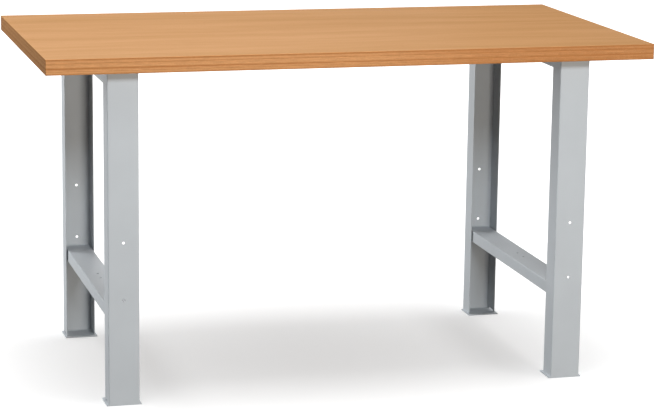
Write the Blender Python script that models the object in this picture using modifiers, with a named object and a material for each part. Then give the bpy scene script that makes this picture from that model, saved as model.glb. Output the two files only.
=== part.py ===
"""Workbench: a thick plywood worktop screwed to two welded side frames of folded sheet steel.

Metres, +Z up. X runs along the worktop, -Y is the front. The origin is on the floor, under the
middle of the worktop. Each side frame has two channel legs that open towards each other, a top
rail and a lower rail nested between their webs, and a flat foot plate under each leg.
"""
import math

import bmesh
import bpy
from mathutils import Matrix

# Worktop
TOP_LENGTH = 1.500
TOP_DEPTH = 0.800
TOP_THICKNESS = 0.038
TOP_EDGE_ROUNDING = 0.0015
BENCH_HEIGHT = 0.850

# Where the side frames stand under the worktop
END_OVERHANG = 0.150
FRONT_OVERHANG = 0.045

# Folded sheet steel
SHEET = 0.002
BEND_INNER_RADIUS = 0.001
BEND_STEPS = 4

# Legs
LEG_WIDTH = 0.075
LEG_FLANGE = 0.055
ACCESSORY_HOLE_DIAMETER = 0.007
ACCESSORY_HOLE_LOW = 0.260
ACCESSORY_HOLE_PITCH = 0.140
DRAIN_SLOT_LENGTH = 0.035
DRAIN_SLOT_HEIGHT = 0.004
DRAIN_SLOT_CORNER = 0.0015

# Rails
RAIL_SIDE_CLEARANCE = 0.0025
TOP_RAIL_INNER_FLANGE = 0.030
TOP_RAIL_OUTER_FLANGE = 0.040
LOWER_RAIL_HEIGHT = 0.237
LOWER_RAIL_FLANGE = 0.030
LOWER_RAIL_HOLE_DIAMETER = 0.007
LOWER_RAIL_HOLE_PITCH = 0.046

# Foot plates
FOOT_THICKNESS = 0.003
FOOT_SIDE_MARGIN = 0.005
FOOT_HEEL = 0.015
FOOT_CORNER = 0.002

# Wood screws and washers that hold the worktop down
SCREWS_PER_RAIL = 4
SCREW_END_DISTANCE = 0.110
SCREW_DIAMETER = 0.008
SCREW_LENGTH = 0.035
SCREW_POINT = 0.007
SCREW_HEAD_FLATS = 0.013
SCREW_HEAD_HEIGHT = 0.0055
SCREW_HOLE_CLEARANCE = 0.0005
WASHER_DIAMETER = 0.024
WASHER_THICKNESS = 0.002

# The gap kept between pieces that touch
GAP = 0.0003

# How finely round shapes are divided
TOP_EDGE_STEPS = 2
CORNER_STEPS = 3
HOLE_SIDES = 24
SCREW_SIDES = 20
HEAD_SIDES = 6
WASHER_SIDES = 32
SHARP_ANGLE = math.radians(30)
ROUND_PROFILE = 0.5
MERGE_DISTANCE = 0.00001

# Worked out from the sizes above
UNDERSIDE = BENCH_HEIGHT - TOP_THICKNESS
FRAME_HALF_DEPTH = TOP_DEPTH / 2 - FRONT_OVERHANG
LEG_CENTRE_X = TOP_LENGTH / 2 - END_OVERHANG - LEG_WIDTH / 2
LEG_BOTTOM = FOOT_THICKNESS + GAP
LEG_TOP = UNDERSIDE - GAP
LEG_LENGTH = LEG_TOP - LEG_BOTTOM
RAIL_LENGTH = 2 * (FRAME_HALF_DEPTH - SHEET - GAP)
RAIL_WIDTH = LEG_WIDTH - 2 * (SHEET + RAIL_SIDE_CLEARANCE)
TOP_RAIL_HEIGHT = UNDERSIDE - GAP
WASHER_TOP = TOP_RAIL_HEIGHT - SHEET - GAP
SCREW_SEAT = WASHER_TOP - WASHER_THICKNESS - GAP
SCREW_REACH = SCREW_SEAT + SCREW_LENGTH - UNDERSIDE
DRILL_LENGTH = 4 * SHEET

SIDES = {"left": -1, "right": 1}
ENDS = {"front": -1, "rear": 1}
QUARTER_TURN = math.pi / 2
HALF_TURN = math.pi


def clear_scene():
    for thing in list(bpy.data.objects):
        bpy.data.objects.remove(thing, do_unlink=True)


def new_collection(name):
    group = bpy.data.collections.new(name)
    bpy.context.scene.collection.children.link(group)
    return group


def new_material(name, colour, roughness, metallic):
    material = bpy.data.materials.new(name)
    material.use_nodes = True
    shader = material.node_tree.nodes["Principled BSDF"]
    shader.inputs["Base Color"].default_value = (*colour, 1.0)
    shader.inputs["Roughness"].default_value = roughness
    shader.inputs["Metallic"].default_value = metallic
    material.diffuse_color = (*colour, 1.0)
    return material


def plywood(name):
    return new_material(name, (0.62, 0.36, 0.17), 0.45, 0.0)


def grey_paint(name):
    return new_material(name, (0.48, 0.51, 0.53), 0.35, 0.0)


def zinc(name):
    return new_material(name, (0.62, 0.62, 0.60), 0.35, 1.0)


def mesh_from(shape, name):
    mesh = bpy.data.meshes.new(name)
    shape.to_mesh(mesh)
    shape.free()
    return mesh


def new_piece(name, mesh, group, material=None):
    piece = bpy.data.objects.new(name, mesh)
    group.objects.link(piece)
    if material:
        piece.data.materials.clear()
        piece.data.materials.append(material)
    return piece


def box(size, centre=(0, 0, 0)):
    shape = bmesh.new()
    place = Matrix.Translation(centre) @ Matrix.Diagonal((*size, 1))
    bmesh.ops.create_cube(shape, size=1, matrix=place)
    return shape


def round_corners(shape, axis, radius):
    """Rounds the edges of a box that run along one axis, given as 0, 1 or 2."""
    along = []
    for edge in shape.edges:
        run = edge.verts[1].co - edge.verts[0].co
        if abs(run[axis]) > run.length / 2:
            along.append(edge)
    bmesh.ops.bevel(
        shape, geom=along, offset=radius, segments=CORNER_STEPS, profile=ROUND_PROFILE, affect="EDGES")


def add_cutter(name, shape, piece, cutters):
    """Takes a closed shape in world places away from a piece."""
    cutter = new_piece(name, mesh_from(shape, name), cutters)
    cutter.hide_render = True
    cutter.display_type = "WIRE"
    cut = piece.modifiers.new(name, "BOOLEAN")
    cut.operation = "DIFFERENCE"
    cut.solver = "EXACT"
    cut.object = cutter


def drill(name, piece, centres, turn, diameter, length, cutters):
    """Drills round holes, each a cylinder about its centre, turned from the Z axis."""
    shape = bmesh.new()
    for centre in centres:
        bmesh.ops.create_cone(
            shape, cap_ends=True, segments=HOLE_SIDES, radius1=diameter / 2,
            radius2=diameter / 2, depth=length, matrix=Matrix.Translation(centre) @ turn)
    add_cutter(name, shape, piece, cutters)


def folded_channel(name, length, width, left_flange, right_flange, group):
    """A sheet folded twice: its web's outer face is on local Z = 0 and its flanges point down.

    The open surface is the outer skin. Bevel rounds its two folds and Solidify adds the sheet
    on the inside, so a flange's depth is measured from the web's outer face.
    """
    deepest = max(left_flange, right_flange)
    shape = box((width, length, deepest), (0, 0, -deepest / 2))
    open_faces = [face for face in shape.faces if face.normal.z < -0.5 or abs(face.normal.y) > 0.5]
    bmesh.ops.delete(shape, geom=open_faces, context="FACES_ONLY")
    for corner in shape.verts:
        if corner.co.z < -deepest / 2:
            corner.co.z = -left_flange if corner.co.x < 0 else -right_flange

    channel = new_piece(name, mesh_from(shape, name), group, grey_paint(name + "_paint"))
    fold = channel.modifiers.new("folds", "BEVEL")
    fold.limit_method = "ANGLE"
    fold.width = SHEET + BEND_INNER_RADIUS
    fold.segments = BEND_STEPS
    wall = channel.modifiers.new("sheet", "SOLIDIFY")
    wall.thickness = SHEET
    wall.offset = -1
    wall.use_even_offset = True
    return channel


def turned(name, profile, closed, sides, group, material=None):
    """A profile of radius and height turned round the Z axis, given down its outer side."""
    mesh = bpy.data.meshes.new(name)
    edges = [(i, i + 1) for i in range(len(profile) - 1)]
    if closed:
        edges.append((len(profile) - 1, 0))
    mesh.from_pydata([(radius, 0, height) for radius, height in profile], edges, [])
    piece = new_piece(name, mesh, group, material)
    turn = piece.modifiers.new("turning", "SCREW")
    turn.axis = "Z"
    turn.steps = sides
    turn.render_steps = sides
    turn.use_merge_vertices = True
    turn.merge_threshold = MERGE_DISTANCE
    return piece


def make_worktop(group, cutters, screw_places):
    centre = (0, 0, BENCH_HEIGHT - TOP_THICKNESS / 2)
    shape = box((TOP_LENGTH, TOP_DEPTH, TOP_THICKNESS))
    worktop = new_piece("worktop", mesh_from(shape, "worktop"), group, plywood("worktop_plywood"))
    worktop.location = centre
    rounding = worktop.modifiers.new("eased_edges", "BEVEL")
    rounding.limit_method = "ANGLE"
    rounding.width = TOP_EDGE_ROUNDING
    rounding.segments = TOP_EDGE_STEPS

    depth = SCREW_REACH + GAP
    centres = [(x, y, UNDERSIDE) for x, y in screw_places]
    drill("worktop_screw_holes", worktop, centres, Matrix.Identity(4),
          SCREW_DIAMETER + 2 * GAP, 2 * depth, cutters)


def make_leg(side, end, group, cutters):
    """A channel stood on end, its web outwards, with accessory holes and a paint drain slot."""
    name = f"{side}_{end}_leg"
    x = SIDES[side] * LEG_CENTRE_X
    y = ENDS[end] * FRAME_HALF_DEPTH
    leg = folded_channel(name, LEG_LENGTH, LEG_WIDTH, LEG_FLANGE, LEG_FLANGE, group)
    leg.location = (x, y, (LEG_BOTTOM + LEG_TOP) / 2)
    leg.rotation_euler = (QUARTER_TURN, 0, 0 if end == "front" else HALF_TURN)

    web_middle = y - ENDS[end] * SHEET / 2
    heights = (ACCESSORY_HOLE_LOW, ACCESSORY_HOLE_LOW + ACCESSORY_HOLE_PITCH)
    drill(name + "_accessory_holes", leg, [(x, web_middle, z) for z in heights],
          Matrix.Rotation(QUARTER_TURN, 4, "X"), ACCESSORY_HOLE_DIAMETER, DRILL_LENGTH, cutters)

    flange_middle = x + SIDES[side] * (LEG_WIDTH - SHEET) / 2
    slot_size = (DRILL_LENGTH, DRAIN_SLOT_LENGTH, 2 * DRAIN_SLOT_HEIGHT)
    slot = box(slot_size, (flange_middle, y - ENDS[end] * LEG_FLANGE / 2, LEG_BOTTOM))
    round_corners(slot, 0, DRAIN_SLOT_CORNER)
    add_cutter(name + "_drain_slot", slot, leg, cutters)


def make_foot(side, end, group):
    """The foot plate is flush with the leg's web and reaches past its flanges as a heel."""
    name = f"{side}_{end}_foot"
    length = LEG_FLANGE + FOOT_HEEL
    shape = box((LEG_WIDTH + 2 * FOOT_SIDE_MARGIN, length, FOOT_THICKNESS))
    round_corners(shape, 2, FOOT_CORNER)
    foot = new_piece(name, mesh_from(shape, name), group, grey_paint(name + "_paint"))
    y = ENDS[end] * (FRAME_HALF_DEPTH - length / 2)
    foot.location = (SIDES[side] * LEG_CENTRE_X, y, FOOT_THICKNESS / 2)


def make_top_rail(side, group, cutters, screw_places):
    """The deeper flange of the top rail is on the outside of the bench."""
    name = f"{side}_top_rail"
    x = SIDES[side] * LEG_CENTRE_X
    rail = folded_channel(
        name, RAIL_LENGTH, RAIL_WIDTH, TOP_RAIL_OUTER_FLANGE, TOP_RAIL_INNER_FLANGE, group)
    rail.location = (x, 0, TOP_RAIL_HEIGHT)
    rail.rotation_euler = (0, 0, 0 if side == "left" else HALF_TURN)
    centres = [(x, y, TOP_RAIL_HEIGHT - SHEET / 2) for y in screw_places]
    drill(name + "_screw_holes", rail, centres, Matrix.Identity(4),
          SCREW_DIAMETER + 2 * SCREW_HOLE_CLEARANCE, DRILL_LENGTH, cutters)


def make_lower_rail(side, group, cutters):
    name = f"{side}_lower_rail"
    x = SIDES[side] * LEG_CENTRE_X
    rail = folded_channel(
        name, RAIL_LENGTH, RAIL_WIDTH, LOWER_RAIL_FLANGE, LOWER_RAIL_FLANGE, group)
    rail.location = (x, 0, LOWER_RAIL_HEIGHT)
    centres = [(x, sign * LOWER_RAIL_HOLE_PITCH / 2, LOWER_RAIL_HEIGHT - SHEET / 2) for sign in (-1, 1)]
    drill(name + "_holes", rail, centres, Matrix.Identity(4),
          LOWER_RAIL_HOLE_DIAMETER, DRILL_LENGTH, cutters)


def screw_mesh(group):
    """A hexagon head joined to a pointed shank, which stands up from its seat at Z = 0."""
    radius = SCREW_DIAMETER / 2
    inside_head = -SCREW_HEAD_HEIGHT / 2
    shank = turned("screw_shank", [
        (0, SCREW_LENGTH),
        (radius, SCREW_LENGTH - SCREW_POINT),
        (radius, inside_head),
        (0, inside_head),
    ], False, SCREW_SIDES, group)

    corner_radius = SCREW_HEAD_FLATS / 2 / math.cos(math.pi / HEAD_SIDES)
    shape = bmesh.new()
    bmesh.ops.create_cone(
        shape, cap_ends=True, segments=HEAD_SIDES, radius1=corner_radius, radius2=corner_radius,
        depth=SCREW_HEAD_HEIGHT, matrix=Matrix.Translation((0, 0, inside_head)))
    head = new_piece("screw_head", mesh_from(shape, "screw_head"), group)
    join = head.modifiers.new("shank", "BOOLEAN")
    join.operation = "UNION"
    join.solver = "EXACT"
    join.object = shank

    view = bpy.context.evaluated_depsgraph_get()
    mesh = bpy.data.meshes.new_from_object(head.evaluated_get(view))
    mesh.name = "hexagon_wood_screw"
    bpy.data.objects.remove(head, do_unlink=True)
    bpy.data.objects.remove(shank, do_unlink=True)
    mesh.shade_smooth()
    mesh.set_sharp_from_angle(angle=SHARP_ANGLE)
    return mesh


def make_fasteners(side, number, y, shared_mesh, group):
    x = SIDES[side] * LEG_CENTRE_X
    screw = bpy.data.objects.new(f"{side}_screw_{number}", shared_mesh)
    group.objects.link(screw)
    screw.location = (x, y, SCREW_SEAT)

    outer = WASHER_DIAMETER / 2
    inner = SCREW_DIAMETER / 2 + GAP
    washer = turned(f"{side}_washer_{number}", [
        (outer, WASHER_THICKNESS),
        (outer, 0),
        (inner, 0),
        (inner, WASHER_THICKNESS),
    ], True, WASHER_SIDES, group, zinc(f"{side}_washer_{number}_zinc"))
    washer.location = (x, y, WASHER_TOP - WASHER_THICKNESS)


def build():
    clear_scene()
    group = new_collection("workbench")
    cutters = new_collection("workbench_cutters")

    reach = RAIL_LENGTH / 2 - SCREW_END_DISTANCE
    pitch = 2 * reach / (SCREWS_PER_RAIL - 1)
    screw_rows = [pitch * i - reach for i in range(SCREWS_PER_RAIL)]
    screw_places = [(sign * LEG_CENTRE_X, y) for sign in SIDES.values() for y in screw_rows]

    make_worktop(group, cutters, screw_places)
    shared_screw = screw_mesh(group)
    shared_screw.materials.append(zinc("screw_zinc"))
    for side in SIDES:
        for end in ENDS:
            make_leg(side, end, group, cutters)
            make_foot(side, end, group)
        make_top_rail(side, group, cutters, screw_rows)
        make_lower_rail(side, group, cutters)
        for number, y in enumerate(screw_rows, start=1):
            make_fasteners(side, number, y, shared_screw, group)


build()
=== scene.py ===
"""Workbench: its fine shapes and finishes, on a plain pale floor in soft studio light.

Metres, +Z up. X runs along the worktop, -Y is the front.
"""
import math

import bmesh
import bpy
from mathutils import Matrix, Vector


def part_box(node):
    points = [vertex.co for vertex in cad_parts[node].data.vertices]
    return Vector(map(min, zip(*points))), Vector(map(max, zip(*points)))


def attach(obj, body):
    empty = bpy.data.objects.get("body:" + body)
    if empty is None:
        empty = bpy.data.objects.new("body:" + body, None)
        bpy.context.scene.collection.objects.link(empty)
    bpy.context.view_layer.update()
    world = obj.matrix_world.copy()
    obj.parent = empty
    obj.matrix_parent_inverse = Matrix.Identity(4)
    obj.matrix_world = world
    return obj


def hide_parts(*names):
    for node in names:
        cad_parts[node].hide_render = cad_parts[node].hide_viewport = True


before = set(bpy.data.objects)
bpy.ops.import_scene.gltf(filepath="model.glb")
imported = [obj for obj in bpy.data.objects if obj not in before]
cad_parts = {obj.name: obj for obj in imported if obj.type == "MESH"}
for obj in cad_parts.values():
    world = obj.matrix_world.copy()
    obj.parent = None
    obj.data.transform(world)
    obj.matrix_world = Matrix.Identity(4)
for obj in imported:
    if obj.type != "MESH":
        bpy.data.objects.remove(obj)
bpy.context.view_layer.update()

SIDES = {"left": -1, "right": 1}
ENDS = {"front": -1, "rear": 1}
UP = Vector((0, 0, 1))

# Folded sheet steel
SHEET = 0.002
FOLD_RADIUS = 0.003
FOLD_STEPS = 8
CUT_EDGE_ROUNDING = 0.0003
CUT_EDGE_STEPS = 3
CUT_EDGE_ANGLE = math.radians(40)
CORNER_STEPS = 6
SMOOTH_ANGLE = math.radians(50)

# Holes in the legs and the rails
HOLE_SIDES = 40
DRILL_LENGTH = 0.010
ACCESSORY_HOLE = 0.007
ACCESSORY_HOLE_HEIGHTS = (0.260, 0.400)
DRAIN_SLOT = Vector((0.010, 0.035, 0.008))
DRAIN_SLOT_CORNER = 0.0015
SHELF_HOLE = 0.007
SHELF_HOLE_PITCH = 0.046
SCREW_HOLE = 0.009
TOP_RAIL_STEP = 0.010

# Foot plates
FOOT_CORNER = 0.002

# Painted weld beads
BEAD_RADIUS = 0.0019
BEAD_SIDES = 10
BEAD_STEP = 0.0004
BEAD_RIPPLE = 0.0018
BEAD_RIPPLE_DEPTH = 0.14
BEAD_END_SIZE = 0.55
TACK_LENGTH = 0.007

# Worktop
EASED_EDGE = 0.0015
EASED_EDGE_STEPS = 4
PLIES = 25
CROSS_PLY_SINK = 0.00012
SCREW_BORE = 0.0086

# Beech: its colours on the face and on the edge
TOP_PALE = (0.612, 0.328, 0.148)
TOP_DARK = (0.508, 0.258, 0.095)
FLECK = (0.25, 0.115, 0.042)
EDGE_PALE = (0.86, 0.425, 0.175)
EDGE_DARK = (0.58, 0.225, 0.070)
# End grain brown; on the board's two ends it also stands in for painted shade
END_GRAIN_AND_SHADE = (0.145, 0.086, 0.039)
GLUE = (0.17, 0.07, 0.025)

# Beech: how often each kind of grain repeats in a metre, along the fibres and across them
DRIFT = (1.1, 3.2)
BANDS = (1.3, 17.0)
STREAKS = (7.0, 150.0)
LINES = (34.0, 900.0)
FLECKS = (210.0, 1500.0)
BAND_WANDER = 3.0
PLY_OFFSET = 3.7

# Beech: how much each kind tells in the tone of the face, how strongly the flecks show, and the
# ranges of tone, flecks and lines that take the colours from one end to the other
BANDS_TONE = 0.45
DRIFT_TONE = 0.2
STREAKS_TONE = 0.23
LINES_TONE = 0.12
FLECKS_SHOWN = 0.3
TONE_RANGE = (0.36, 0.64)
FLECK_RANGE = (0.62, 0.74)
LINE_RANGE = (0.35, 0.7)

# Beech edge: how dark its veneers are, some of them by the share of its height at which they lie,
# and how much painted shade darkens the edge to the right of a stretch along it
VENEER_GRAIN = (1.73, 0.7)
VENEER_RANGE = (0.66, 0.3)
VENEER_CONTRAST = 0.5
STREAK_DARKENING = (0.25, 0.55, 0.45, 1.15)
DARK_VENEERS = {0.93: 0.75, 0.72: 0.3, 0.38: 1.0, 0.21: 0.25, 0.07: 0.5}
DARK_VENEER_CORE = 0.5 / PLIES
DARK_VENEER_FADE = 1.3 / PLIES
# Painted shade: the stretch along x over which the edge darkens towards its right end, and how dark it gets
EDGE_SHADE_STRETCH = (0.05, 0.35)
EDGE_SHADE_DARKNESS = 0.42
EDGE_LINES = 0.3
CROSS_PLY_ENDS = 0.3
# How far the board's two ends are darkened: partly their end grain, partly painted shade
END_GRAIN_AND_SHADE_ON_ENDS = 0.6
GLUE_LINE = 0.07
GLUE_SHOWN = 0.5
PLY_MARGIN = 0.001
SIDEWAYS_RANGE = (0.3, 0.7)

# How rough the finishes are, and how deep their grain stands
WOOD_ROUGHNESS = 0.52
WOOD_RELIEF = 0.00008
OIL_COAT = {"Coat Weight": 0.1, "Coat Roughness": 0.38, "Coat IOR": 1.35}
PAINT_ROUGHNESS = 0.37
PEEL_SCALE = 620.0
PEEL_RELIEF = 0.00004
ZINC_ROUGHNESS = 0.24
ZINC_RELIEF = 0.00001

# Paint and zinc
PAINT = (0.52, 0.555, 0.58)
PAINT_DEEP = (0.507, 0.540, 0.567)
PAINT_PALE = (0.532, 0.567, 0.594)
ZINC = (0.62, 0.62, 0.60)
ZINC_BLUE = (0.60, 0.62, 0.65)
ZINC_YELLOW = (0.68, 0.65, 0.56)

# Screws and washers
SCREWS_PER_RAIL = 4
SCREW_DIAMETER = 0.008
SCREW_CORE = 0.0058
SCREW_POINT_LENGTH = 0.007
SCREW_POINT_SIZE = 0.08
SHANK_SIDES = 32
THREAD_PITCH = 0.0034
THREAD_TURNS = 6
THREAD_STEPS = 20
THREAD_SIZE = 0.0008
THREAD_TIP = 0.00395
MERGE_DISTANCE = 0.000002
WASHER_BORE = 0.0086
HEAD_FLATS = 0.013
HEAD_CHAMFER = 0.0009
HEAD_BLANK = 1.17 * HEAD_FLATS
HEAD_GAP = 0.0003
SCREW_SMOOTH_ANGLE = math.radians(28)
TURNED_SIDES = 48
WASHER_ROUNDING = 0.0004

# Studio. Each softbox: its place, the point that it faces, its width, its height, its power and its colour
SOFTBOXES = {
    "key": ((-0.1, -5.0, 3.1), (0, 0, 0.5), 2.2, 1.0, 158, (0.91, 0.955, 1)),
    "low_front": ((1.0, -5.0, 0.45), (0, 0, 0.6), 2.4, 0.8, 95, (1, 0.925, 0.84)),
    "overhead": ((-0.8, -0.4, 3.4), (-0.3, 0, 0.4), 3.0, 2.0, 63, (0.98, 0.98, 1)),
    "left_rear": ((-3.1, 3.9, 1.55), (0, 0, 0.5), 2.5, 2.6, 234, (1, 1, 1)),
    "left": ((-4.2, 0.5, 0.6), (0, 0, 0.4), 1.6, 0.8, 36, (0.95, 0.98, 1)),
    "right_rear": ((4.0, 3.4, 2.0), (0, 0, 0.5), 2.5, 2.0, 165, (1, 1, 1)),
    "right": ((5.0, 0.0, 1.3), (0, 0, 0.5), 2.4, 1.8, 60, (1, 1, 1)),
    "rear": ((0.5, 5.0, 2.2), (0, 0, 0.5), 3.0, 2.0, 34, (1, 1, 1)),
}
FLOOR_SOFTBOXES = {
    "floor_ceiling": ((0, 0, 8.0), (0, 0, 0), 14.0, 14.0, 760, (1, 1, 1)),
    "floor_middle": ((0.2, -0.45, 8.0), (0.2, -0.45, 0), 7.3, 4.0, 300, (1, 1, 1)),
}
BACKDROP_GLOSS = 0.18
FLOOR_SIZE = 80
FLOOR_SEEN = (0.92, 0.92, 0.92)
FLOOR_IN_GLOSS = (0.45, 0.45, 0.45)
FLOOR_BOUNCE = (0.088, 0.077, 0.066)
FLOOR_GLOW = 0.48
FLOOR_FADE_START = 1.6
FLOOR_FADE_END = 5.0

# The camera's place and the angles at which it looks
CAMERA_PLACE = Vector((-1.5202, -5.7486, 1.6484))
CAMERA_YAW = 0.2640
CAMERA_PITCH = 0.2089
CAMERA_ROLL = -0.0129
CAMERA_LENS = 129.69
CAMERA_SENSOR = 36
CAMERA_REACH = 100


def make_active(piece):
    for thing in list(bpy.context.selected_objects):
        thing.select_set(False)
    piece.select_set(True)
    bpy.context.view_layer.objects.active = piece


def edit(piece):
    make_active(piece)
    bpy.ops.object.mode_set(mode="EDIT")
    bpy.ops.mesh.select_all(action="DESELECT")


def leave_edit():
    bpy.ops.object.mode_set(mode="OBJECT")


def pick(piece, kind, wanted):
    """Selects those faces, edges or corners of the piece in edit mode that are wanted."""
    bpy.ops.mesh.select_mode(type=kind)
    bpy.ops.mesh.select_all(action="DESELECT")
    cage = bmesh.from_edit_mesh(piece.data)
    parts = {"FACE": cage.faces, "EDGE": cage.edges, "VERT": cage.verts}[kind]
    for part in parts:
        if wanted(part):
            part.select_set(True)
    bmesh.update_edit_mesh(piece.data)


def place_in_mesh(piece, name):
    """Names a new primitive and moves its place, turn and scale into its mesh."""
    piece.name = name
    piece.data.name = name
    make_active(piece)
    bpy.ops.object.transform_apply(location=True, rotation=True, scale=True)
    return piece


def block(name, low, high):
    """A box between two corners."""
    bpy.ops.object.select_all(action="DESELECT")
    bpy.ops.mesh.primitive_cube_add(size=1, location=(low + high) / 2, scale=high - low)
    return place_in_mesh(bpy.context.object, name)


def rod(name, centre, diameter, length, turn=(0, 0, 0), sides=HOLE_SIDES):
    bpy.ops.object.select_all(action="DESELECT")
    bpy.ops.mesh.primitive_cylinder_add(
        vertices=sides, radius=diameter / 2, depth=length, location=centre, rotation=turn)
    return place_in_mesh(bpy.context.object, name)


def finish_with(piece, kind, **settings):
    """Adds a modifier to a piece and applies it."""
    make_active(piece)
    step = piece.modifiers.new(kind.lower(), kind)
    for name, value in settings.items():
        setattr(step, name, value)
    bpy.ops.object.modifier_apply(modifier=step.name)


def combine(piece, tool, operation):
    """Cuts a piece by a tool, joins them or keeps what they share. The tool is used up."""
    finish_with(piece, "BOOLEAN", operation=operation, solver="EXACT", object=tool)
    bpy.data.objects.remove(tool, do_unlink=True)


def round_cut_edges(piece, width=CUT_EDGE_ROUNDING):
    """Rounds the edges that a saw, punch or laser left, then smooths the shading."""
    finish_with(piece, "BEVEL", width=width, segments=CUT_EDGE_STEPS,
                limit_method="ANGLE", angle_limit=CUT_EDGE_ANGLE)
    smooth(piece)


def smooth(piece):
    make_active(piece)
    bpy.ops.object.shade_smooth_by_angle(angle=SMOOTH_ANGLE)
    finish_with(piece, "WEIGHTED_NORMAL", mode="FACE_AREA", keep_sharp=True)


def copy_of(piece, name, place):
    """A copy with its own mesh, moved to a place."""
    twin = bpy.data.objects.new(name, piece.data.copy())
    twin.data.name = name
    bpy.context.scene.collection.objects.link(twin)
    twin.data.transform(Matrix.Translation(place))
    return twin


def dress(piece, material, slot, *nodes):
    """Gives a piece its finish and its place in the frame."""
    piece.data.materials.clear()
    piece.data.materials.append(material)
    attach(piece, "root")
    if nodes:
        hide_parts(*nodes)


class Value:
    """A socket in a material. Sums written with it become Math nodes."""

    def __init__(self, finish, socket):
        self.finish = finish
        self.socket = socket

    def sum(self, operation, first, second=0.0):
        return self.finish.node("ShaderNodeMath", {"operation": operation}, {0: first, 1: second})

    def __add__(self, other):
        return self.sum("ADD", self, other)

    def __radd__(self, other):
        return self.sum("ADD", other, self)

    def __sub__(self, other):
        return self.sum("SUBTRACT", self, other)

    def __rsub__(self, other):
        return self.sum("SUBTRACT", other, self)

    def __mul__(self, other):
        return self.sum("MULTIPLY", self, other)

    def __rmul__(self, other):
        return self.sum("MULTIPLY", other, self)

    def __truediv__(self, other):
        return self.sum("DIVIDE", self, other)

    def __mod__(self, other):
        return self.sum("FLOORED_MODULO", self, other)

    def floor(self):
        return self.sum("FLOOR", self)

    def __abs__(self):
        return self.sum("ABSOLUTE", self)


class Finish:
    """The nodes of a material or of the backdrop, all made by one method."""

    def __init__(self, owner, shader="Principled BSDF"):
        owner.use_nodes = True
        self.material = owner
        self.tree = owner.node_tree
        self.shader = self.tree.nodes[shader]

    def set(self, socket, value):
        """Sets one of the shader's own sockets to a number, a colour or a link."""
        if isinstance(value, Value):
            self.tree.links.new(value.socket, self.shader.inputs[socket])
        else:
            self.shader.inputs[socket].default_value = value

    def node(self, kind, settings=None, inputs=None, output=0):
        made = self.tree.nodes.new(kind)
        for name, value in (settings or {}).items():
            if name == "stops":
                ramp = made.color_ramp
                while len(ramp.elements) < len(value):
                    ramp.elements.new(1.0)
                for element, (position, colour) in zip(ramp.elements, value):
                    element.position = position
                    element.color = (*colour, 1)
            else:
                setattr(made, name, value)
        for name, value in (inputs or {}).items():
            if isinstance(value, Value):
                self.tree.links.new(value.socket, made.inputs[name])
            else:
                made.inputs[name].default_value = value
        return Value(self, made.outputs[output])

    def place(self):
        """The Object coordinates as three numbers and as a vector."""
        where = self.node("ShaderNodeTexCoord", output="Object")
        split = [self.node("ShaderNodeSeparateXYZ", None, {0: where}, axis) for axis in "XYZ"]
        return where, split

    def vector(self, x, y, z):
        return self.node("ShaderNodeCombineXYZ", None, {"X": x, "Y": y, "Z": z})

    def noise(self, vector, scale=1.0, detail=2.0, roughness=0.5):
        return self.node("ShaderNodeTexNoise", None, {
            "Vector": vector, "Scale": scale, "Detail": detail, "Roughness": roughness})

    def ramp(self, value, low, high, start=0.0, end=1.0):
        """Takes a value from its own range to another, and no further."""
        return self.node("ShaderNodeMapRange", {"clamp": True}, {
            "Value": value, "From Min": low, "From Max": high, "To Min": start, "To Max": end})

    def mix(self, share, first, second, blend="MIX"):
        """Mixes two colours."""
        first, second = [c if isinstance(c, Value) else (*c, 1) for c in (first, second)]
        return self.node("ShaderNodeMix", {"data_type": "RGBA", "blend_type": blend},
                         {0: share, 6: first, 7: second}, 2)

    def blend(self, share, first, second):
        """Mixes two numbers."""
        return self.node("ShaderNodeMix", {"data_type": "FLOAT"}, {0: share, 2: first, 3: second})

    def bump(self, height, depth, strength=1.0):
        self.set("Normal", self.node("ShaderNodeBump", None, {
            "Height": height, "Distance": depth, "Strength": strength}))


def new_finish(name, colour, roughness, metallic=0.0):
    finish = Finish(bpy.data.materials.new(name))
    finish.set("Base Color", (*colour, 1))
    finish.set("Roughness", roughness)
    finish.set("Metallic", metallic)
    return finish


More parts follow.
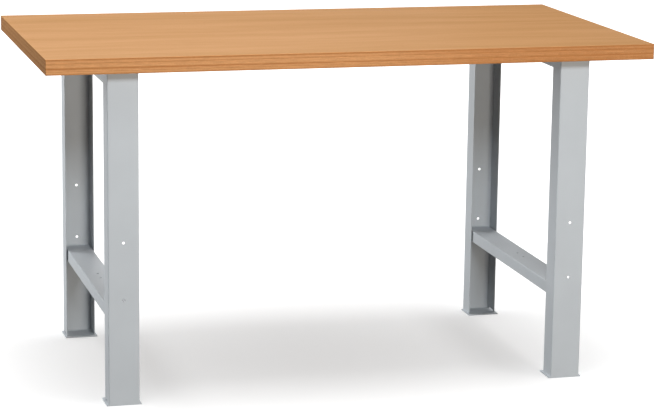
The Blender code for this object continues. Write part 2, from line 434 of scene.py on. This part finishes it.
def plywood_finish():
    """Oiled beech plywood. Its plies are worked out from the height, so edges show them in line."""
    wood = new_finish("beech_plywood", (0.40, 0.21, 0.095), 0.55)
    where, (x, y, z) = wood.place()
    low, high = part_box("worktop")
    layer = wood.ramp(z, low.z, high.z, PLY_MARGIN, PLIES - PLY_MARGIN)
    ply = layer.floor()
    cross = ply % 2.0
    along = wood.blend(cross, x, y)
    across = wood.blend(cross, y, x)
    own = ply * PLY_OFFSET

    def grain(kind, detail, roughness=0.5, wander=None):
        sideways = across * kind[1]
        if wander:
            sideways = sideways + wander * BAND_WANDER
        return wood.noise(wood.vector(along * kind[0], sideways, own), detail=detail, roughness=roughness)

    drift = grain(DRIFT, 2.0)
    bands = grain(BANDS, 3.0, 0.55, drift)
    streaks = grain(STREAKS, 3.0, 0.6)
    lines = grain(LINES, 2.0, 0.6)
    flecks = grain(FLECKS, 1.0)

    tone = bands * BANDS_TONE + drift * DRIFT_TONE + streaks * STREAKS_TONE + lines * LINES_TONE
    colour = wood.mix(wood.ramp(tone, *TONE_RANGE), TOP_DARK, TOP_PALE)
    fleck_share = wood.ramp(flecks, *FLECK_RANGE) * FLECKS_SHOWN
    colour = wood.mix(fleck_share, colour, FLECK)

    facing = wood.node("ShaderNodeTexCoord", output="Normal")
    nx, ny, nz = [wood.node("ShaderNodeSeparateXYZ", None, {0: facing}, axis) for axis in "XYZ"]
    end_grain = wood.blend(cross, abs(nx), abs(ny))
    edge = 1.0 - wood.ramp(abs(nz), *SIDEWAYS_RANGE)

    height = (z - low.z) / (high.z - low.z)
    step, stretch = VENEER_GRAIN
    veneer = wood.noise(wood.vector(ply * step, along * stretch, across * stretch), detail=1.0)
    dark = wood.ramp(veneer, *VENEER_RANGE) * VENEER_CONTRAST
    # Painted shade: the edge grows darker from a little right of the middle to the board's right end
    dark = dark + wood.ramp(x, *EDGE_SHADE_STRETCH, 0.0, EDGE_SHADE_DARKNESS)
    for level, strength in DARK_VENEERS.items():
        dark = dark + wood.ramp(abs(height - level), DARK_VENEER_CORE, DARK_VENEER_FADE, strength, 0.0)
    dark = dark * wood.ramp(streaks, *STREAK_DARKENING)
    edge_colour = wood.mix(wood.ramp(dark, 0.0, 1.0), EDGE_PALE, EDGE_DARK)
    edge_colour = wood.mix(wood.ramp(lines, *LINE_RANGE) * EDGE_LINES, edge_colour, FLECK)
    edge_colour = wood.mix(end_grain * CROSS_PLY_ENDS, edge_colour, END_GRAIN_AND_SHADE)
    # The board's two ends: partly real end grain, partly painted shade that makes them darker still
    edge_colour = wood.mix(abs(nx) * END_GRAIN_AND_SHADE_ON_ENDS, edge_colour, END_GRAIN_AND_SHADE)
    colour = wood.mix(edge, colour, edge_colour)

    glue = wood.ramp(abs(layer % 1.0 - 0.5), 0.5 - GLUE_LINE, 0.5)
    colour = wood.mix(glue * edge * GLUE_SHOWN, colour, GLUE)

    wood.set("Base Color", colour)
    wood.set("Roughness", WOOD_ROUGHNESS + lines * 0.12 + fleck_share * 0.3)
    wood.set("Specular IOR Level", 0.0)
    for socket, amount in OIL_COAT.items():
        wood.set(socket, amount)
    wood.bump(lines * 0.5 + streaks * 0.3 - fleck_share * 0.8 - glue * edge, WOOD_RELIEF, 0.6)
    return wood.material


def paint_finish():
    """Powder coat: a light blue-grey with a fine orange-peel surface."""
    paint = new_finish("grey_powder_coat", PAINT, 0.42)
    paint.set("Specular IOR Level", 0.4)
    where, _ = paint.place()
    cloud = paint.noise(where, 9.0, detail=2.0)
    peel = paint.noise(where, PEEL_SCALE, detail=2.0, roughness=0.45)
    grain = paint.noise(where, 3200.0, detail=1.0)
    paint.set("Base Color", paint.mix(paint.ramp(cloud, 0.3, 0.7), PAINT_DEEP, PAINT_PALE))
    paint.set("Roughness", PAINT_ROUGHNESS + peel * 0.08 + grain * 0.04)
    paint.bump(peel + grain * 0.15, PEEL_RELIEF, 0.5)
    return paint.material


def zinc_finish():
    """Bright zinc plating with a faint yellow and blue bloom."""
    zinc = new_finish("zinc_plate", ZINC, 0.32, 1.0)
    where, _ = zinc.place()
    bloom = zinc.noise(where, 160.0, detail=2.0)
    grain = zinc.noise(where, 2600.0, detail=2.0)
    zinc.set("Base Color", zinc.mix(zinc.ramp(bloom, 0.35, 0.65), ZINC_BLUE, ZINC_YELLOW))
    zinc.set("Roughness", ZINC_ROUGHNESS + grain * 0.2)
    zinc.bump(grain, ZINC_RELIEF, 0.5)
    return zinc.material


def floor_finish():
    """A matt white floor that fades into the backdrop, and throws little light back on the bench."""
    floor = new_finish("pale_floor", FLOOR_SEEN, 0.9)
    seen = floor.node("ShaderNodeLightPath", output="Is Camera Ray")
    mirrored = floor.node("ShaderNodeLightPath", output="Is Glossy Ray")
    unseen = floor.mix(mirrored, FLOOR_BOUNCE, FLOOR_IN_GLOSS)
    floor.set("Base Color", floor.mix(seen, unseen, FLOOR_SEEN))
    where, _ = floor.place()
    distance = floor.node("ShaderNodeVectorMath", {"operation": "LENGTH"}, {0: where}, "Value")
    glow = floor.ramp(distance, FLOOR_FADE_START, FLOOR_FADE_END, FLOOR_GLOW, 1.0)
    glow = glow * (seen + mirrored * FLOOR_IN_GLOSS[0])
    floor.set("Emission Color", floor.mix(glow, (0, 0, 0), (1, 1, 1)))
    floor.set("Emission Strength", 1.0)
    return floor.material


def backdrop():
    """White to the camera and in gloss. The softboxes alone light the bench."""
    world = bpy.data.worlds.new("backdrop")
    sky = Finish(world, "Background")
    seen = sky.node("ShaderNodeLightPath", output="Is Camera Ray")
    mirrored = sky.node("ShaderNodeLightPath", output="Is Glossy Ray")
    sky.set("Color", (1, 1, 1, 1))
    sky.set("Strength", seen + mirrored * BACKDROP_GLOSS)
    return world


def folded_channel(name, node, web, run):
    """A channel in a node's box. Its web faces one way and it runs along one axis."""
    low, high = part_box(node)
    channel = block(name, low, high)
    web_plane = max(corner.dot(web) for corner in (low, high))
    edit(channel)
    pick(channel, "FACE", lambda face: face.normal.dot(web) < -0.5 or abs(face.normal[run]) > 0.5)
    bpy.ops.mesh.delete(type="FACE")

    def is_fold(edge):
        first, second = [corner.co for corner in edge.verts]
        on_web = min(first.dot(web), second.dot(web)) > web_plane - SHEET / 2
        return on_web and abs(first[run] - second[run]) > SHEET

    pick(channel, "EDGE", is_fold)
    bpy.ops.mesh.bevel(offset=FOLD_RADIUS, segments=FOLD_STEPS)
    leave_edit()
    return channel


def thicken(channel):
    finish_with(channel, "SOLIDIFY", thickness=SHEET, offset=-1, use_even_offset=True)


def drill(piece, centre, diameter, axis, length=DRILL_LENGTH):
    turn = {"Y": (math.pi / 2, 0, 0), "Z": (0, 0, 0)}[axis]
    combine(piece, rod("drill", centre, diameter, length, turn), "DIFFERENCE")


def make_leg(side, end, paint):
    node = f"{side}_{end}_leg"
    low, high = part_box(node)
    leg = folded_channel(node + "_channel", node, Vector((0, ENDS[end], 0)), 2)
    thicken(leg)
    x = (low.x + high.x) / 2
    web_y = low.y if end == "front" else high.y
    for height in ACCESSORY_HOLE_HEIGHTS:
        drill(leg, Vector((x, web_y, height)), ACCESSORY_HOLE, "Y")

    outer_x = low.x if side == "left" else high.x
    middle = Vector((outer_x, (low.y + high.y) / 2, low.z))
    slot = block("slot", middle - DRAIN_SLOT / 2, middle + DRAIN_SLOT / 2)
    edit(slot)
    pick(slot, "EDGE", lambda edge: abs(edge.verts[0].co.x - edge.verts[1].co.x) > SHEET)
    bpy.ops.mesh.bevel(offset=DRAIN_SLOT_CORNER, segments=CORNER_STEPS)
    leave_edit()
    combine(leg, slot, "DIFFERENCE")
    round_cut_edges(leg)
    dress(leg, paint, "grey_paint", node)


def make_foot(side, end, paint):
    node = f"{side}_{end}_foot"
    low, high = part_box(node)
    foot = block(node + "_plate", low, high)
    edit(foot)
    pick(foot, "EDGE", lambda edge: abs(edge.verts[0].co.z - edge.verts[1].co.z) > SHEET)
    bpy.ops.mesh.bevel(offset=FOOT_CORNER, segments=CORNER_STEPS)
    leave_edit()
    round_cut_edges(foot)
    dress(foot, paint, "grey_paint", node)


def make_top_rail(side, paint):
    node = f"{side}_top_rail"
    low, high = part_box(node)
    rail = folded_channel(node + "_channel", node, UP, 1)
    inner_x = high.x if side == "left" else low.x
    edit(rail)
    pick(rail, "VERT", lambda corner: abs(corner.co.x - inner_x) < SHEET and corner.co.z < low.z + SHEET)
    bpy.ops.transform.translate(value=(0, 0, TOP_RAIL_STEP))
    leave_edit()
    thicken(rail)
    for number in range(1, SCREWS_PER_RAIL + 1):
        screw_low, screw_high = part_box(f"{side}_screw_{number}")
        centre = (screw_low + screw_high) / 2
        drill(rail, Vector((centre.x, centre.y, high.z)), SCREW_HOLE, "Z")
    round_cut_edges(rail)
    dress(rail, paint, "grey_paint", node)


def make_lower_rail(side, paint):
    node = f"{side}_lower_rail"
    low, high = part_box(node)
    rail = folded_channel(node + "_channel", node, UP, 1)
    thicken(rail)
    for way in ENDS.values():
        place = Vector(((low.x + high.x) / 2, way * SHELF_HOLE_PITCH / 2, high.z))
        drill(rail, place, SHELF_HOLE, "Z")
    round_cut_edges(rail)
    dress(rail, paint, "grey_paint", node)


def weld_bead(start, end):
    """A rippled bead along the line between two points, as a torch leaves it."""
    along = end - start
    bpy.ops.object.select_all(action="DESELECT")
    bpy.ops.mesh.primitive_circle_add(vertices=BEAD_SIDES, radius=BEAD_RADIUS, fill_type="NGON")
    bead = bpy.context.object
    edit(bead)
    bpy.ops.mesh.select_all(action="SELECT")
    size = 1.0
    steps = round(along.length / BEAD_STEP)
    for step in range(1, steps + 1):
        travelled = step * along.length / steps
        to_end = min(travelled, along.length - travelled)
        wanted = 1 - BEAD_RIPPLE_DEPTH * (travelled % BEAD_RIPPLE) / BEAD_RIPPLE
        wanted *= BEAD_END_SIZE + (1 - BEAD_END_SIZE) * min(1.0, to_end / BEAD_RADIUS)
        bpy.ops.mesh.extrude_region_move(TRANSFORM_OT_translate={"value": (0, 0, along.length / steps)})
        bpy.ops.transform.resize(value=(wanted / size, wanted / size, 1), center_override=(0, 0, travelled))
        size = wanted
    pick(bead, "VERT", lambda corner: corner.co.z < BEAD_STEP / 2)
    bpy.ops.transform.resize(value=(BEAD_END_SIZE, BEAD_END_SIZE, 1), center_override=(0, 0, 0))
    bpy.ops.mesh.select_all(action="SELECT")
    bpy.ops.mesh.normals_make_consistent(inside=False)
    leave_edit()
    turn = along.to_track_quat("Z", "Y").to_matrix().to_4x4()
    bead.data.transform(Matrix.Translation(start) @ turn)
    return bead


def make_welds(side, end, paint):
    """The beads that hold a leg to its rails and to its foot plate."""
    low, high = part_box(f"{side}_{end}_leg")
    way = -ENDS[end]
    web_y = (low.y if end == "front" else high.y) + way * SHEET
    foot_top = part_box(f"{side}_{end}_foot")[1].z
    outer_x, inner_x = (low.x, high.x) if side == "left" else (high.x, low.x)
    inwards = -SIDES[side]
    lines = []
    for rail in ("lower_rail", "top_rail"):
        rail_low, rail_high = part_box(f"{side}_{rail}")
        if rail == "lower_rail":
            lines.append((Vector((rail_low.x + FOLD_RADIUS, web_y, rail_high.z)),
                          Vector((rail_high.x - FOLD_RADIUS, web_y, rail_high.z))))
        depth = rail_low.z + SHEET
        for x in (rail_low.x, rail_high.x):
            shallow = rail == "top_rail" and abs(x - inner_x) < abs(x - outer_x)
            free = depth + TOP_RAIL_STEP if shallow else depth
            lines.append((Vector((x, web_y, free)), Vector((x, web_y, rail_high.z - FOLD_RADIUS))))
    plate_y = [web_y, web_y + way * (high.y - low.y - 2 * SHEET)]
    lines.append((Vector((inner_x, plate_y[0], foot_top)), Vector((inner_x, plate_y[1], foot_top))))
    for edge, reach in ((plate_y[0], way), (plate_y[1], -way)):
        tack_end = edge + reach * TACK_LENGTH
        lines.append((Vector((outer_x, edge, foot_top)), Vector((outer_x, tack_end, foot_top))))
    inset = 2 * SHEET
    lines.append((Vector((low.x + inset, web_y, foot_top)), Vector((high.x - inset, web_y, foot_top))))
    beads = [weld_bead(*line) for line in lines]
    make_active(beads[0])
    for bead in beads:
        bead.select_set(True)
    bpy.ops.object.join()
    welds = place_in_mesh(bpy.context.object, f"{side}_{end}_leg_welds")
    smooth(welds)
    dress(welds, paint, "grey_paint")


def make_board(plywood):
    """The worktop. Its cross plies are sanded a little lower than the long ones at every edge."""
    low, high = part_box("worktop")
    board = block("worktop_board", low, high)
    edit(board)
    bpy.ops.mesh.select_all(action="SELECT")
    bpy.ops.mesh.bevel(offset=EASED_EDGE, segments=EASED_EDGE_STEPS)
    thickness = (high.z - low.z) / PLIES
    for ply in range(1, PLIES):
        bpy.ops.mesh.select_all(action="SELECT")
        bpy.ops.mesh.bisect(plane_co=(0, 0, low.z + ply * thickness), plane_no=(0, 0, 1))

    def in_cross_ply(face):
        ply = int((face.calc_center_median().z - low.z) / thickness)
        return ply % 2 == 1 and abs(face.normal.z) < 0.1

    pick(board, "FACE", in_cross_ply)
    bpy.ops.mesh.extrude_region_shrink_fatten(
        TRANSFORM_OT_shrink_fatten={"value": -CROSS_PLY_SINK, "use_even_offset": True})
    leave_edit()
    for side in SIDES:
        for number in range(1, SCREWS_PER_RAIL + 1):
            screw_low, screw_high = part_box(f"{side}_screw_{number}")
            centre = (screw_low + screw_high) / 2
            depth = screw_high.z - low.z + SHEET / 4
            drill(board, Vector((centre.x, centre.y, low.z)), SCREW_BORE, "Z", 2 * depth)
    smooth(board)
    dress(board, plywood, "plywood", "worktop")


def make_shank(bottom, top):
    """A pointed shank: plain below, with a wood thread on its upper part."""
    thread_start = top - SCREW_POINT_LENGTH - THREAD_TURNS * THREAD_PITCH
    middle = (0, 0, (bottom + thread_start) / 2)
    shank = rod("shank", middle, SCREW_DIAMETER, thread_start - bottom, sides=SHANK_SIDES)
    edit(shank)
    pick(shank, "FACE", lambda face: face.normal.z > 0.9)
    steps = ((0, SCREW_CORE / SCREW_DIAMETER), (THREAD_TURNS * THREAD_PITCH, 1),
             (SCREW_POINT_LENGTH, SCREW_POINT_SIZE))
    for rise, width in steps:
        bpy.ops.mesh.extrude_region_move(TRANSFORM_OT_translate={"value": (0, 0, rise)})
        bpy.ops.transform.resize(value=(width, width, 1), center_override=(0, 0, 0))
    leave_edit()

    bpy.ops.object.select_all(action="DESELECT")
    bpy.ops.mesh.primitive_circle_add(
        vertices=3, radius=THREAD_SIZE, rotation=(math.pi / 2, math.pi / 2, 0),
        location=(THREAD_TIP - THREAD_SIZE, 0, thread_start - THREAD_SIZE))
    thread = place_in_mesh(bpy.context.object, "thread")
    finish_with(thread, "SCREW", axis="Z", angle=math.tau, screw_offset=THREAD_PITCH,
                iterations=THREAD_TURNS, steps=THREAD_STEPS, render_steps=THREAD_STEPS)
    edit(thread)
    bpy.ops.mesh.select_all(action="SELECT")
    bpy.ops.mesh.remove_doubles(threshold=MERGE_DISTANCE)
    bpy.ops.mesh.select_all(action="DESELECT")
    bpy.ops.mesh.select_mode(type="EDGE")
    bpy.ops.mesh.select_non_manifold()
    bpy.ops.mesh.fill()
    bpy.ops.mesh.select_all(action="SELECT")
    bpy.ops.mesh.normals_make_consistent(inside=False)
    leave_edit()
    combine(shank, thread, "UNION")
    return shank


def make_fasteners(zinc):
    """The screws, each with a chamfered hexagon head under a washer."""
    low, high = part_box("left_screw_1")
    washer_low, washer_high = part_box("left_washer_1")
    height = washer_low.z - HEAD_GAP - low.z
    head = rod("screw_head", (0, 0, height / 2), HEAD_FLATS / math.cos(math.pi / 6), height, sides=6)
    turned = rod("head_turning", (0, 0, height / 2), HEAD_BLANK, height, sides=TURNED_SIDES)
    edit(turned)
    pick(turned, "EDGE", lambda edge: max(corner.co.z for corner in edge.verts) < height / 2)
    bpy.ops.mesh.bevel(offset=HEAD_CHAMFER, segments=1)
    leave_edit()
    combine(head, turned, "INTERSECT")
    combine(head, make_shank(height / 2, high.z - low.z), "UNION")
    make_active(head)
    bpy.ops.object.shade_smooth_by_angle(angle=SCREW_SMOOTH_ANGLE)

    size = washer_high - washer_low
    washer = rod("washer", (0, 0, size.z / 2), size.x, size.z, sides=TURNED_SIDES)
    combine(washer, rod("bore", (0, 0, size.z / 2), WASHER_BORE, 2 * size.z), "DIFFERENCE")
    round_cut_edges(washer, WASHER_ROUNDING)

    for side in SIDES:
        for number in range(1, SCREWS_PER_RAIL + 1):
            for master, name in ((head, "screw"), (washer, "washer")):
                node = f"{side}_{name}_{number}"
                low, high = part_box(node)
                place = Vector(((low.x + high.x) / 2, (low.y + high.y) / 2, low.z))
                twin = copy_of(master, node + "_zinc", place)
                dress(twin, zinc, "zinc", node)
    for master in (head, washer):
        bpy.data.objects.remove(master, do_unlink=True)


def make_camera():
    lens = bpy.data.cameras.new("camera")
    lens.sensor_width = CAMERA_SENSOR
    lens.lens = CAMERA_LENS
    lens.clip_end = CAMERA_REACH
    camera = bpy.data.objects.new("camera", lens)
    bpy.context.scene.collection.objects.link(camera)
    camera.matrix_world = (
        Matrix.Translation(CAMERA_PLACE)
        @ Matrix.Rotation(-CAMERA_YAW, 4, "Z")
        @ Matrix.Rotation(math.pi / 2 - CAMERA_PITCH, 4, "X")
        @ Matrix.Rotation(-CAMERA_ROLL, 4, "Z"))
    bpy.context.scene.camera = camera


def softbox(name, place, target, width, height, power, colour):
    lamp = bpy.data.lights.new(name, "AREA")
    lamp.shape = "RECTANGLE"
    lamp.size = width
    lamp.size_y = height
    lamp.energy = power
    lamp.color = colour
    thing = bpy.data.objects.new(name, lamp)
    bpy.context.scene.collection.objects.link(thing)
    place = Vector(place)
    thing.location = place
    thing.rotation_euler = (Vector(target) - place).to_track_quat("-Z", "Y").to_euler()
    thing.visible_camera = False
    return thing


def make_studio():
    bpy.ops.object.select_all(action="DESELECT")
    bpy.ops.mesh.primitive_plane_add(size=FLOOR_SIZE)
    floor = bpy.context.object
    floor.name = "studio_floor"
    floor.data.materials.append(floor_finish())
    only_floor = bpy.data.collections.new("only_floor")
    only_floor.objects.link(floor)
    but_floor = bpy.data.collections.new("but_floor")
    but_floor.objects.link(floor)
    but_floor.collection_objects[0].light_linking.link_state = "EXCLUDE"
    for lamps, lit in ((SOFTBOXES, but_floor), (FLOOR_SOFTBOXES, only_floor)):
        for name, lamp in lamps.items():
            softbox(name + "_softbox", *lamp).light_linking.receiver_collection = lit
    # In gloss the left rear softbox would draw a bright line along a fold of the lower rail
    bpy.data.objects["left_rear_softbox"].visible_glossy = False
    bpy.context.scene.world = backdrop()
    bpy.context.scene.view_settings.view_transform = "Standard"


make_camera()
make_studio()
paint = paint_finish()
plywood = plywood_finish()
zinc = zinc_finish()
make_board(plywood)
for side in SIDES:
    for end in ENDS:
        make_leg(side, end, paint)
        make_foot(side, end, paint)
        make_welds(side, end, paint)
    make_top_rail(side, paint)
    make_lower_rail(side, paint)
make_fasteners(zinc)
